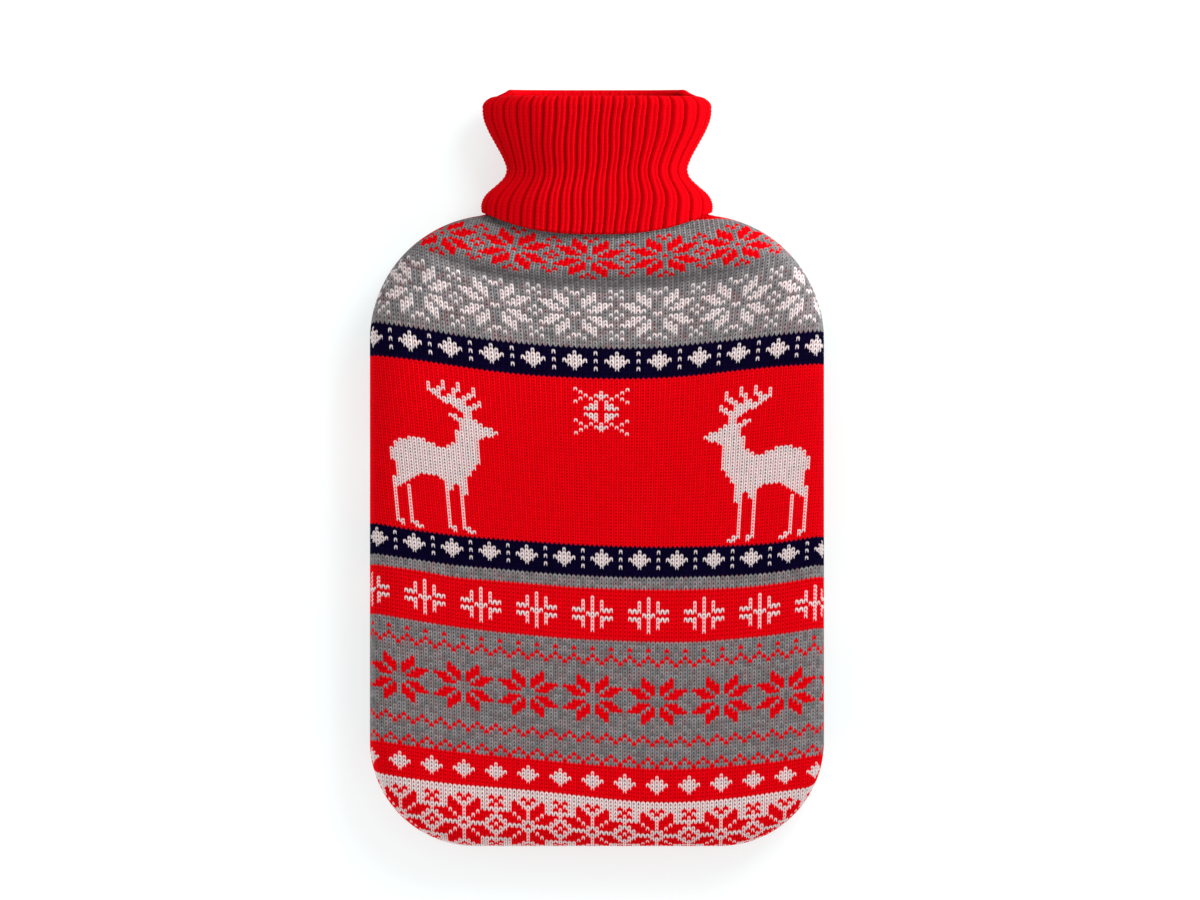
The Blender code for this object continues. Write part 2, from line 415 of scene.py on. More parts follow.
def body_depth(x, y):
    """How far points are inside the rounded body, without its neck."""
    middle = (BOTTOM_Y + SHOULDER_Y) / 2
    half_length = (SHOULDER_Y - BOTTOM_Y) / 2
    radius = np.where(y > middle, SHOULDER_RADIUS, CORNER_RADIUS)
    past_x = np.abs(x) - (HALF_WIDTH - radius)
    past_y = np.abs(y - middle) - (half_length - radius)
    outside = np.hypot(np.maximum(past_x, 0.0), np.maximum(past_y, 0.0))
    return radius - outside - np.minimum(np.maximum(past_x, past_y), 0.0)


def outline_depth(x, y):
    """How far points are inside the outline, with the neck joined on by a fillet."""
    body = body_depth(x, y)
    neck = np.minimum(NECK_HALF_WIDTH - np.abs(x), y - NECK_START_Y)
    near = np.maximum(NECK_FILLET - np.abs(body - neck), 0.0) / NECK_FILLET
    return np.maximum(body, neck) + near * near * NECK_FILLET / 4


def crown(x, y):
    across = np.maximum(1 - (x / HALF_WIDTH) ** 2, 0.0)
    along = np.maximum(1 - ((y - CROWN_Y) / CROWN_REACH) ** 2, 0.0)
    return CROWN_HEIGHT * across * along


def crease(x, y):
    """How deep in the crease points are, from 0 to 1."""
    rise = np.where(x < 0, *CREASE_RISES) * np.abs(x / HALF_WIDTH) ** CREASE_BEND
    away = (y - CREASE_Y - rise) / CREASE_WIDTH
    faded = smooth_step(CREASE_FADE_FROM, CREASE_FADE_TO, np.abs(x))
    return np.exp(-away * away) * (1 - CREASE_FADE * faded)


def edge_profile(reach, fullness, rise):
    """The cloth's rounding from the seam to the flat.

    Gives the depth of each of its points laid flat, its depth in from the seam once it is turned
    down, and its share of the rise.
    """
    turn = np.linspace(0.0, math.pi / 2, PROFILE_STEPS)
    depth = reach * (1 - np.cos(turn) ** (2 / fullness))
    share = np.sin(turn) ** (2 / fullness)
    steps = np.hypot(np.diff(depth), np.diff(share * rise)) / EDGE_STRETCH
    laid = np.concatenate([[0.0], np.cumsum(np.maximum(steps, np.diff(depth)))])
    return laid + reach - laid[-1], depth, share


def over_edge(x, y, reach, fullness, rise):
    """Wraps flat cloth over the rounded edge.

    Gives the new x and y, the share of the rise, and how far past the seam the cloth's point is.
    """
    neck_share = smooth_step(NECK_BLEND_FROM_Y, NECK_BLEND_TO_Y, y)
    inside = outline_depth(x, y)
    parts = []
    for part_reach, part_fullness in ((reach, fullness), (NECK_HALF_WIDTH, NECK_FULLNESS)):
        laid, depth, share = edge_profile(part_reach, part_fullness, rise)
        new_depth = np.where(inside < part_reach, np.interp(inside, laid, depth), inside)
        parts.append((new_depth, np.interp(inside, laid, share), laid[0] - inside))
    depth, share = (blend(parts[0][k], parts[1][k], neck_share) for k in range(2))
    past = np.where(neck_share < 1, parts[0][2], parts[1][2])
    past = np.where(neck_share > 0, np.minimum(past, parts[1][2]), past)
    nudge = 1e-6
    for _ in range(EDGE_PASSES):
        slope_x = (outline_depth(x + nudge, y) - outline_depth(x - nudge, y)) / (2 * nudge)
        slope_y = (outline_depth(x, y + nudge) - outline_depth(x, y - nudge)) / (2 * nudge)
        steep = np.maximum(np.hypot(slope_x, slope_y), nudge)
        move = (depth - outline_depth(x, y)) / steep
        x, y = x + slope_x * move, y + slope_y * move
    return x, y, share, past


def front_surface(x, y):
    x, y, share, past = over_edge(x, y, FRONT_REACH, FRONT_FULLNESS, FRONT_RISE)
    rise = blend(FRONT_RISE, NECK_RISE, smooth_step(NECK_BLEND_FROM_Y, NECK_BLEND_TO_Y, y))
    rise = rise + crown(x, y) - CREASE_DEPTH * crease(x, y)
    return np.stack([x, y, SEAM_HEIGHT + share * rise], -1), past


def back_surface(x, y):
    x, y, share, past = over_edge(x, y, BACK_REACH, BACK_FULLNESS, BACK_DROP)
    lift = NECK_LIFT * smooth_step(NECK_LIFT_FROM_Y, NECK_LIFT_TO_Y, y)
    return np.stack([x, y, SEAM_HEIGHT - share * (BACK_DROP - lift)], -1), past


# --- The knitted pattern -----------------------------------------------------------------------


def whole(chart):
    """A chart given down to its middle row, with its mirror added below."""
    return chart + chart[-2::-1]


def stamp(pattern, chart, top, middle, yarn):
    """Knits one figure with its top row and middle column here."""
    left = middle - len(chart[0]) // 2
    for row, line in enumerate(chart):
        for column, mark in enumerate(line):
            j, i = top + row - FIRST_ROW, left + column + SIDE_COLUMNS
            if mark == "X" and 0 <= i < pattern.shape[1]:
                pattern[j, i] = yarn


def repeat(pattern, chart, top, phase, every, yarn):
    """Knits a figure again and again round a band."""
    times = SIDE_COLUMNS // every + 2
    for time in range(-times, times + 1):
        stamp(pattern, chart, top, phase + round(time * every), yarn)


def bars(pattern, top, rows, yarn):
    pattern[top - FIRST_ROW : top + rows - FIRST_ROW] = yarn


def navy_band(pattern, top, phase):
    bars(pattern, top, 8, NAVY)
    repeat(pattern, whole(DIAMOND), top + 1, phase, 8, WHITE)
    repeat(pattern, whole(DOTS), top + 1, phase + 4, 8, WHITE)


def knit_pattern():
    """The yarn of each stitch, one row of the result for each row down from the collar."""
    pattern = np.full((LAST_ROW - FIRST_ROW + 1, 2 * SIDE_COLUMNS + 1), RED)
    bars(pattern, 0, 39, GREY)
    repeat(pattern, whole(BORDER_STAR), 4, 0, 14, RED)
    repeat(pattern, whole(PLAIN_BUD), 4, 7, 14, RED)
    repeat(pattern, whole(WIDE_STAR), 22, -2, 15, WHITE)
    repeat(pattern, whole(BUD), 22, 5, 15, WHITE)
    navy_band(pattern, 39, 5)
    stamp(pattern, whole(FLAKE), 50, 2, WHITE)
    stamp(pattern, DEER, 52, -30, WHITE)
    stamp(pattern, [line[::-1] for line in DEER], 52, 34, WHITE)
    navy_band(pattern, 100, 2)
    bars(pattern, 108, 3, GREY)
    repeat(pattern, whole(CROSS), 113, 0, 12, WHITE)
    bars(pattern, 124, 35, GREY)
    repeat(pattern, ("X",), 126, 0, 4, RED)
    repeat(pattern, ZIGZAG, 128, 0, 4, RED)
    repeat(pattern, whole(STAR), 134, 0, 14, RED)
    repeat(pattern, ZIGZAG, 150, -1, 4, RED)
    repeat(pattern, ("X",), 156, 0, 4, RED)
    repeat(pattern, ("X.X",), 157, 0, 4, RED)
    repeat(pattern, ("X",), 158, 2, 4, RED)
    repeat(pattern, whole(DIAMOND), 161, 0, 7, WHITE)
    bars(pattern, 168, LAST_ROW - 167, WHITE)
    repeat(pattern, whole(BORDER_STAR), 170, 0, 14, RED)
    repeat(pattern, whole(BUD), 170, 7, 14, RED)
    return pattern


def ground_yarns(pattern):
    """The yarn other than white that each row has most of."""
    counts = np.array([(pattern == yarn).sum(1) for yarn in (RED, GREY, NAVY)])
    return np.array((RED, GREY, NAVY))[counts.argmax(0)]


def curve_through(stations, values, at):
    """A smooth curve through these values, read at these places."""
    slopes = np.gradient(values, stations)
    low = np.clip(np.searchsorted(stations, at) - 1, 0, len(stations) - 2)
    width = stations[low + 1] - stations[low]
    share = (at - stations[low]) / width
    left = 1 - share
    ends = values[low] * left * left * (1 + 2 * share)
    ends = ends + values[low + 1] * share * share * (1 + 2 * left)
    return ends + width * share * left * (slopes[low] * left - slopes[low + 1] * share)


def between_rows(table, stations, row, at):
    """Reads a table of curves across the knit, one for each of some rows."""
    rows = sorted(table)
    stations = np.array(stations, float)
    total = np.zeros(np.shape(at))
    for index, knot in enumerate(rows):
        weight = np.interp(row, rows, np.eye(len(rows))[index])
        total += weight * curve_through(stations, np.array(table[knot], float), at)
    return total


def stitch_place(column, row):
    """Where a point of the knit lies on the cloth laid flat, in columns and rows."""
    x = between_rows(WALE_PLACES, WALES, row, column) / 1000
    held = np.clip(x, BOW_PLACES[0], BOW_PLACES[-1])
    raised = between_rows(ROW_BOWS, BOW_PLACES, row, held) / 1000
    middle = np.interp(row, [place[0] for place in ROW_PLACES], [place[1] for place in ROW_PLACES])
    return x, middle + raised


# --- Meshes ------------------------------------------------------------------------------------

# Where the lines of one stitch lie across it, how high each stands and how far up its row it runs
WALE_LINES = ((0.0, -1.0, -0.5), (0.16, -0.05, -0.19), (0.5, -0.6, 0.5), (0.84, -0.05, -0.19))
ROW_LINES = ((0.0, -1.0), (0.5, 0.0))
# Stitches differ in height by up to this much, and all sink away over this length to the seam
STITCH_SWING = 0.00012
RELIEF_FADE = 0.003


def grid_mesh(name, across, along):
    """A flat grid, with the column and row of each point and of each face."""
    shape = bmesh.new()
    bmesh.ops.create_grid(shape, x_segments=across, y_segments=along, size=1.0)
    mesh = bpy.data.meshes.new(name)
    shape.to_mesh(mesh)
    shape.free()
    places = np.empty(len(mesh.vertices) * 3, np.float32)
    mesh.vertices.foreach_get("co", places)
    places = (places.reshape(-1, 3)[:, :2] + 1) / 2
    points = np.rint(places * (across, along)).astype(int)
    corners = np.empty(len(mesh.loops), np.int32)
    mesh.loops.foreach_get("vertex_index", corners)
    faces = points[corners].reshape(-1, 4, 2).min(1)
    return mesh, points, faces, points[corners]


def place_points(mesh, places):
    mesh.vertices.foreach_set("co", np.ascontiguousarray(places, np.float32).ravel())
    mesh.update()


def add_map(mesh, name, places):
    mesh.uv_layers.new(name=name).uv.foreach_set(
        "vector", np.ascontiguousarray(places, np.float32).ravel()
    )


def add_colour(mesh, name, colours):
    filled = np.ones((len(colours), 4), np.float32)
    filled[:, :3] = colours
    mesh.attributes.new(name, "FLOAT_COLOR", "FACE").data.foreach_set("color", filled.ravel())


def add_value(mesh, name, values):
    mesh.attributes.new(name, "FLOAT", "POINT").data.foreach_set(
        "value", np.ascontiguousarray(values, np.float32)
    )


def add_plain_red(mesh, faces, colour):
    """One red yarn for a whole piece."""
    add_colour(mesh, "yarn", np.tile(colour, (len(faces), 1)))
    add_colour(mesh, "behind_and_shade", np.tile(GAP_COLOURS[RED], (len(faces), 1)))


def drop_hidden(mesh, points, faces, hidden):
    """Takes out the faces with every point hidden, and the points that only they used."""
    across, along = points.max(0)
    grid = np.ones((along + 1, across + 1), bool)
    grid[points[:, 1], points[:, 0]] = hidden
    i, j = faces[:, 0], faces[:, 1]
    gone = grid[j, i] & grid[j, i + 1] & grid[j + 1, i] & grid[j + 1, i + 1]
    shape = bmesh.new()
    shape.from_mesh(mesh)
    shape.faces.ensure_lookup_table()
    dropped = [shape.faces[index] for index in np.flatnonzero(gone)]
    bmesh.ops.delete(shape, geom=dropped, context="FACES")
    shape.to_mesh(mesh)
    shape.free()


def new_piece(name, mesh, look, node):
    mesh.materials.append(look)
    mesh.shade_smooth()
    piece = bpy.data.objects.new(name, mesh)
    bpy.context.scene.collection.objects.link(piece)
    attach(piece, BODY)
    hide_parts(node)
    return piece


def steady(seed, shape):
    """The same random numbers for the same seed."""
    return np.random.default_rng(seed).random(shape)


def yarn_colours(settings):
    return np.array([settings.red, settings.grey, settings.white, settings.navy])


def surface_normals(points, places):
    """Unit normals of a surface at the points of its grid."""
    across, along = points.max(0)
    grid = np.empty((along + 1, across + 1, 3))
    grid[points[:, 1], points[:, 0]] = places
    normals = np.cross(np.gradient(grid, axis=1), np.gradient(grid, axis=0))
    length = np.linalg.norm(normals, axis=2, keepdims=True)
    normals = normals / np.maximum(length, 1e-12)
    return normals[points[:, 1], points[:, 0]]


def stitch_colours(settings, row, column, line):
    """The colour of each face of the knit, and of its gaps: partly yarn, partly painted shade.

    Each face is given by its stitch's row and column and by its own line across the stitch.
    """
    pattern = knit_pattern()
    last_column = pattern.shape[1] - 1
    yarns = yarn_colours(settings)
    tone = steady(settings.seed + 1, pattern.shape)[row, column]
    yarn = pattern[row, column]
    shade = 1 + (2 * tone[:, None] - 1) * np.array(YARN_SPREAD)[yarn, None]
    colours = yarns[yarn] * shade
    # The gaps' colours: painted shade, tinted by the yarn carried at the back
    gap_colours = np.array(GAP_COLOURS)
    behind_and_shade = gap_colours[yarn]
    white = yarn == WHITE
    ground = ground_yarns(pattern)[row]
    behind_and_shade[white] = blend(behind_and_shade[white], gap_colours[ground[white]], GROUND_SHARE)

    aside = np.where(line < len(WALE_LINES) // 2, -1, 1)
    beside = pattern[row, np.clip(column + aside, 0, last_column)]
    covered = white & (beside != WHITE)
    behind_and_shade[covered] = yarns[beside[covered]] * SPREAD_SHADE
    outer = covered & ((line == 0) | (line == len(WALE_LINES) - 1))
    colours[outer] = yarns[beside[outer]] * shade[outer]
    for way in (-1, 1):
        near = pattern[row, np.clip(column + way, 0, last_column)]
        mixed = white & (near != WHITE) & ~outer
        colours[mixed] = blend(colours[mixed], yarns[near[mixed]], WHITE_MIX)

    carried = steady(settings.seed + 2, pattern.shape)[row, column] < CARRIED_SHARE
    carried &= ((yarn == GREY) | white) & ~covered & (row + FIRST_ROW >= CARRIED_FROM)
    behind_and_shade[carried] = CARRIED_RED
    return colours, behind_and_shade


def knit_skin(name, surface, mirrored, first_row, end_row, settings, look, node):
    """One piece of a panel's outer face, with every stitch."""
    columns, rows = 2 * SIDE_COLUMNS + 1, end_row - first_row
    lines, halves = len(WALE_LINES), len(ROW_LINES)
    across, along = columns * lines, rows * halves
    mesh, points, faces, corners = grid_mesh(name, across, along)
    wale = np.array(WALE_LINES)[points[:, 0] % lines]
    step = np.array(ROW_LINES)[points[:, 1] % halves]
    column = points[:, 0] // lines + wale[:, 0] - SIDE_COLUMNS - 0.5
    if mirrored:
        column = -column
    row = end_row - points[:, 1] // halves - step[:, 0]
    smooth, past = surface(*stitch_place(column, row - settings.slant * wale[:, 2]))
    normals = surface_normals(points, surface(*stitch_place(column, row))[0])
    relief = settings.wale_relief * wale[:, 1] + settings.stitch_relief * step[:, 1]
    random = steady(settings.seed, (rows, columns))
    stitch = np.minimum(points // (lines, halves), (columns - 1, rows - 1))
    relief = relief + (random[stitch[:, 1], stitch[:, 0]] - 0.5) * STITCH_SWING
    places = smooth + normals * (relief * (1 - smooth_step(-RELIEF_FADE, 0.0, past)))[:, None]
    place_points(mesh, places)

    stitch_row = end_row - 1 - faces[:, 1] // halves - FIRST_ROW
    colours, behind_and_shade = stitch_colours(
        settings, stitch_row, faces[:, 0] // lines, faces[:, 0] % lines
    )
    add_colour(mesh, "yarn", colours)
    add_colour(mesh, "behind_and_shade", behind_and_shade)
    if not mirrored:
        # Painted shade in the crease and below the collar
        shade_below_collar = UNDER_COLLAR_SHADE * smooth_step(UNDER_COLLAR_SHADE_FROM_Y, UNDER_COLLAR_SHADE_TO_Y, places[:, 1])
        crease_shade = CREASE_SHADE * crease(places[:, 0], places[:, 1])
        add_value(mesh, "painted_shade", np.maximum(shade_below_collar, crease_shade))
    add_map(mesh, "OFBake", corners / (across, along))
    add_map(mesh, "stitches", corners / (lines, halves))
    drop_hidden(mesh, points, faces, (past >= 0) | (places[:, 1] > NECK_END_Y))
    return new_piece(name, mesh, look, node)


# --- Looks -------------------------------------------------------------------------------------


def link(tree, start, end):
    tree.links.new(start, end)


def math_node(tree, operation, *values):
    node = tree.nodes.new("ShaderNodeMath")
    node.operation = operation
    for socket, value in zip(node.inputs, values):
        if isinstance(value, (int, float)):
            socket.default_value = value
        else:
            link(tree, value, socket)
    return node.outputs[0]


def attribute(tree, name, output):
    node = tree.nodes.new("ShaderNodeAttribute")
    node.attribute_name = name
    return node.outputs[output]


def mix_colour(tree, kind, share, first, second):
    node = tree.nodes.new("ShaderNodeMix")
    node.data_type = "RGBA"
    node.blend_type = kind
    for socket, value in ((node.inputs[0], share), (node.inputs[6], first), (node.inputs[7], second)):
        if hasattr(value, "links"):
            link(tree, value, socket)
        elif isinstance(value, (int, float)):
            socket.default_value = value
        else:
            socket.default_value = (*value, 1.0)
    return node.outputs[2]


def ramp(tree, value, start, end):
    node = tree.nodes.new("ShaderNodeMapRange")
    node.interpolation_type = "SMOOTHSTEP"
    link(tree, value, node.inputs["Value"])
    node.inputs["From Min"].default_value = min(start, end)
    node.inputs["From Max"].default_value = max(start, end)
    node.inputs["To Min"].default_value = 0.0 if start < end else 1.0
    node.inputs["To Max"].default_value = 1.0 if start < end else 0.0
    return node.outputs[0]


def from_middle(tree, value):
    """How far a place in the stitch map is from its stitch's middle, from 0 to 1 at the edge."""
    part = math_node(tree, "SUBTRACT", math_node(tree, "FRACT", value), 0.5)
    return math_node(tree, "MULTIPLY", math_node(tree, "ABSOLUTE", part), 2.0)


# Painted shade: the knit darkens towards its gaps' colour in these gaps
# The gaps, from where they start to where they are full, as from_middle gives places. A slit
# lies between two wales and is deepest between rows. A dot lies under each stitch's top, and a
# fine line between its two legs and between its row and the next.
SLIT_ASIDE = (0.54, 0.95)
SLIT_DARK = (0.35, 0.6)
DOT_ASIDE = (0.40, 0.10)
DOT_ABOVE = (0.12, 0.75)
CENTRE_ASIDE = (0.22, 0.04)
CENTRE_DARK = 0.35
ROW_ABOVE = (0.7, 1.0)
ROW_DARK = 0.3


def stitch_gaps(tree, place):
    """How dark the painted shade is in the gaps between and in the stitches."""
    parts = tree.nodes.new("ShaderNodeSeparateXYZ")
    link(tree, place, parts.inputs[0])
    aside = from_middle(tree, parts.outputs["X"])
    above = from_middle(tree, parts.outputs["Y"])
    slit = ramp(tree, aside, *SLIT_ASIDE)
    slit = math_node(tree, "MULTIPLY", slit, math_node(tree, "MULTIPLY_ADD", above, *SLIT_DARK))
    dot = ramp(tree, aside, *DOT_ASIDE)
    dot = math_node(tree, "MULTIPLY", dot, ramp(tree, above, *DOT_ABOVE))
    centre = math_node(tree, "MULTIPLY", ramp(tree, aside, *CENTRE_ASIDE), CENTRE_DARK)
    between = math_node(tree, "MULTIPLY", ramp(tree, above, *ROW_ABOVE), ROW_DARK)
    dark = math_node(tree, "MAXIMUM", slit, dot)
    return math_node(tree, "MAXIMUM", dark, math_node(tree, "MAXIMUM", centre, between))


# The yarn's fibres: how many lie across a wale and up a row, how much they vary its colour round
# this shade, and their bump
FIBRE_SCALE = (2.2, 7.0, 1.0)
FIBRE_DETAIL = 3.0
FIBRE_CONTRAST = 0.7
FIBRE_SHADE = 0.65
FIBRE_BUMP = 0.25
FIBRE_DEPTH = 0.0003
YARN_ROUGHNESS = 0.95
YARN_SPECULAR = 0.02


def yarn_look(name, gap_strength=1.0):
    """Wool yarn: the stitch's colour, with painted shade in gaps and hollows, and fine fibres."""
    look = bpy.data.materials.new(name)
    look.use_nodes = True
    tree = look.node_tree
    shader = tree.nodes["Principled BSDF"]
    shader.inputs["Roughness"].default_value = YARN_ROUGHNESS
    shader.inputs["Specular IOR Level"].default_value = YARN_SPECULAR
    place = tree.nodes.new("ShaderNodeUVMap")
    place.uv_map = "stitches"
    along = tree.nodes.new("ShaderNodeMapping")
    along.inputs["Scale"].default_value = FIBRE_SCALE
    link(tree, place.outputs[0], along.inputs["Vector"])
    fibre = tree.nodes.new("ShaderNodeTexNoise")
    fibre.inputs["Scale"].default_value = 1.0
    fibre.inputs["Detail"].default_value = FIBRE_DETAIL
    link(tree, along.outputs[0], fibre.inputs["Vector"])
    bright = math_node(
        tree, "MULTIPLY_ADD", fibre.outputs["Fac"], FIBRE_CONTRAST, FIBRE_SHADE
    )
    # Painted shade in the gaps, the crease and the rib valleys mixes the yarn towards the gaps'
    # colour
    gaps = math_node(tree, "MULTIPLY", stitch_gaps(tree, place.outputs[0]), gap_strength)
    painted_shade = math_node(tree, "MAXIMUM", attribute(tree, "painted_shade", "Fac"), gaps)
    yarn = attribute(tree, "yarn", "Color")
    shade = tree.nodes.new("ShaderNodeCombineColor")
    for socket in shade.inputs[:3]:
        link(tree, bright, socket)
    yarn = mix_colour(tree, "MULTIPLY", 1.0, yarn, shade.outputs[0])
    colour = mix_colour(tree, "MIX", painted_shade, yarn, attribute(tree, "behind_and_shade", "Color"))
    link(tree, colour, shader.inputs["Base Color"])
    bump = tree.nodes.new("ShaderNodeBump")
    bump.inputs["Strength"].default_value = FIBRE_BUMP
    bump.inputs["Distance"].default_value = FIBRE_DEPTH
    link(tree, fibre.outputs["Fac"], bump.inputs["Height"])
    link(tree, bump.outputs[0], shader.inputs["Normal"])
    return look


# --- The inner faces ---------------------------------------------------------------------------


INNER_GRID = (96, 150)
# The grid starts this far outside the outline, so that it reaches the seam all round
INNER_MARGIN = 0.014
# The cloth thins to this share of its thickness over this length to the seam
THIN_SHARE = 0.3
THIN_LENGTH = 0.006
INNER_SHADE = 0.8


def inner_skin(name, surface, upwards, settings, look, node):
    """The wrong side of a panel: a plainer sheet just inside its outer face."""
    mesh, points, faces, corners = grid_mesh(name, *INNER_GRID)
    share = points / INNER_GRID
    x = (share[:, 0] * 2 - 1) * (HALF_WIDTH + INNER_MARGIN)
    y = blend(BOTTOM_Y - INNER_MARGIN, NECK_END_Y, share[:, 1])
    smooth, past = surface(x, y)
    normals = upwards * surface_normals(points, smooth)
    inwards = blend(THIN_SHARE, 1.0, 1 - smooth_step(-THIN_LENGTH, 0.0, past))
    place_points(mesh, smooth - normals * (CLOTH * inwards)[:, None])
    if upwards > 0:
        mesh.flip_normals()
    add_plain_red(mesh, faces, yarn_colours(settings)[RED] * INNER_SHADE)
    add_map(mesh, "OFBake", corners / INNER_GRID)
    add_map(mesh, "stitches", corners / INNER_GRID * (2 * SIDE_COLUMNS, LAST_ROW))
    drop_hidden(mesh, points, faces, past >= 0)
    return new_piece(name, mesh, look, node)


# --- The collar --------------------------------------------------------------------------------


def collar_section(y):
    """The collar's half width, rise and drop at y."""
    places, *sizes = np.array(COLLAR_SECTIONS).T
    held = np.clip(y, places[0], places[-1])
    return [curve_through(places, size, held) for size in sizes]


def collar_point(angle, y, sunk):
    """Points of the collar's oval at y, sunk this far inside its outer face."""
    half_width, rise, drop = collar_section(y)
    back_share = smooth_step(FOLD_CHANGE_FROM, FOLD_CHANGE_TO, np.sin(angle))
    half_width = half_width - BACK_FOLD_INSET * back_share * smooth_step(
        FOLD_FRONT_Y - FOLD_DEPTH, FOLD_FRONT_Y, y
    )
    power = 2 / COLLAR_FULLNESS
    across, up = np.cos(angle), np.sin(angle)
    drawn_in = WAIST_SPREAD * (FLARE_HALF_WIDTH - half_width) / (FLARE_HALF_WIDTH - half_width.min())
    reached = np.abs(across) ** power
    reached = reached * (1 + drawn_in * (1 - reached * reached))
    across = np.copysign(np.minimum(reached, 1.0) ** (1 / power), across)
    up = np.copysign(np.sqrt(1 - across * across), up)
    reach = np.where(up > 0, rise, drop) - sunk
    x = (half_width - sunk) * np.copysign(np.abs(across) ** power, across)
    z = SEAM_HEIGHT + reach * np.copysign(np.abs(up) ** power, up)
    return np.stack([x, np.broadcast_to(y, x.shape), z], -1)


GIRTH_POINTS = 4001


def girth_angles():
    """Angles round the collar's waist, and the share of its girth that each has reached."""
    angles = np.linspace(0.0, 2 * math.pi, GIRTH_POINTS)
    waist_y = min(COLLAR_SECTIONS, key=lambda section: section[1])[0]
    points = collar_point(angles, np.full(angles.shape, waist_y), 0.0)
    lengths = np.linalg.norm(np.diff(points, axis=0), axis=1)
    shares = np.concatenate([[0.0], np.cumsum(lengths)])
    return angles, shares / shares[-1]


# Where the lines of one rib lie in its pitch and how deep each is: two wales, then the valley
RIB_LINES = (
    (0.0, 0.42),
    (0.06, 0.08),
    (0.18, 0.0),
    (0.31, 0.08),
    (0.385, 0.42),
    (0.46, 0.08),
    (0.59, 0.0),
    (0.71, 0.08),
    (0.77, 0.42),
    (0.82, 0.95),
    (0.885, 1.0),
    (0.95, 0.95),
)
# Each line's stitches run up or down the collar by this share of the slant
RIB_SLANTS = (-0.4, -0.15, 0.15, 0.0, -0.4, 0.0, 0.15, -0.15, -0.4, 0.1, 0.4, 0.1)
RIB_SLANT = 0.0007
RIB_WALES = 3
# The lower edge is drawn up between the ribs by this much, and less further up
EDGE_SCALLOP = 0.0012
SCALLOP_FADE = 3
# The rib's red is darkened as painted shade, and its stitches' gaps have fainter painted shade
COLLAR_PAINTED_SHADE = 0.66
COLLAR_GAPS = 0.4
# Painted shade: how far the rib darkens towards its gaps' colour in the valleys, and on the faces
# without ribs
RIB_VALLEY_SHADE = 0.9
VALLEY_POWER = 1.6
PLAIN_FACE_SHADE = 0.3
FLARE_STITCHES = 9
NECK_STITCHES = 24
FOLD_STITCHES = 5
# On the mouth's inner face the ribs show faintly and the other way round
INNER_RIBS = -0.12
INNER_STEPS = 12
FLARE_STEPS = 5
# The inner face ends just below the fold. The two faces between the layers stop just short of it
# and meet there.
INNER_END = 0.999
BETWEEN_END = 0.98
# The rounded lower edge: share of the flare, share of the cloth's thickness and how ribbed
LOWER_EDGE = ((0.0, 0.95, 0.0), (-0.03, 0.5, 0.3))


def collar_rows():
    """The collar's closed section: up its outside, over the fold and back between its layers.

    Each row gives its stretch (0 flare, 1 neck, 2 fold), the share of it, its depth, how ribbed
    it is and which half of a stitch it is.
    """
    inner_layer = COLLAR_CLOTH + LAYER_GAP
    innermost = inner_layer + COLLAR_CLOTH
    rows = []
    for stretch, stitches in enumerate((FLARE_STITCHES, NECK_STITCHES)):
        for step in range(2 * stitches):
            rows.append((stretch, step / (2 * stitches), 0.0, 1.0, step % 2))
    for step in range(2 * FOLD_STITCHES + 1):
        angle = math.pi * step / (2 * FOLD_STITCHES)
        depth = innermost * (1 - math.cos(angle)) / 2
        rows.append((2, math.sin(angle), depth, max(math.cos(angle), INNER_RIBS), step % 2))
    for step in range(INNER_STEPS, -1, -1):
        rows.append((1, step / INNER_STEPS * INNER_END, innermost, INNER_RIBS, 0))
    for step in range(INNER_STEPS + 1):
        rows.append((1, step / INNER_STEPS * BETWEEN_END, inner_layer, 0.0, 0))
    rows.append((1, 1.0, COLLAR_CLOTH + LAYER_GAP / 2, 0.0, 0))
    for step in range(INNER_STEPS, -1, -1):
        rows.append((1, step / INNER_STEPS * BETWEEN_END, COLLAR_CLOTH, 0.0, 0))
    for step in range(FLARE_STEPS - 1, 0, -1):
        rows.append((0, step / FLARE_STEPS, COLLAR_CLOTH, 0.0, 0))
    for share, thickness, ribbed in LOWER_EDGE:
        rows.append((0, share, COLLAR_CLOTH * thickness, ribbed, 0))
    return np.array(rows)


def collar_y(stretch, share, angle):
    """How far along Y a row of the collar's section lies at this angle round it."""
    up = np.sin(angle)
    fold = blend(FOLD_FRONT_Y, FOLD_BACK_Y, smooth_step(FOLD_CHANGE_FROM, FOLD_CHANGE_TO, up))
    edge = blend(LOWER_EDGE_SIDE_Y, LOWER_EDGE_MIDDLE_Y, up * up)
    root = np.full(up.shape, COLLAR_ROOT_Y)
    start = np.choose(stretch, (edge, root, fold - FOLD_DEPTH))
    end = np.choose(stretch, (root, fold - FOLD_DEPTH, fold))
    return blend(start, end, share)


SAME_POINT = 1e-6


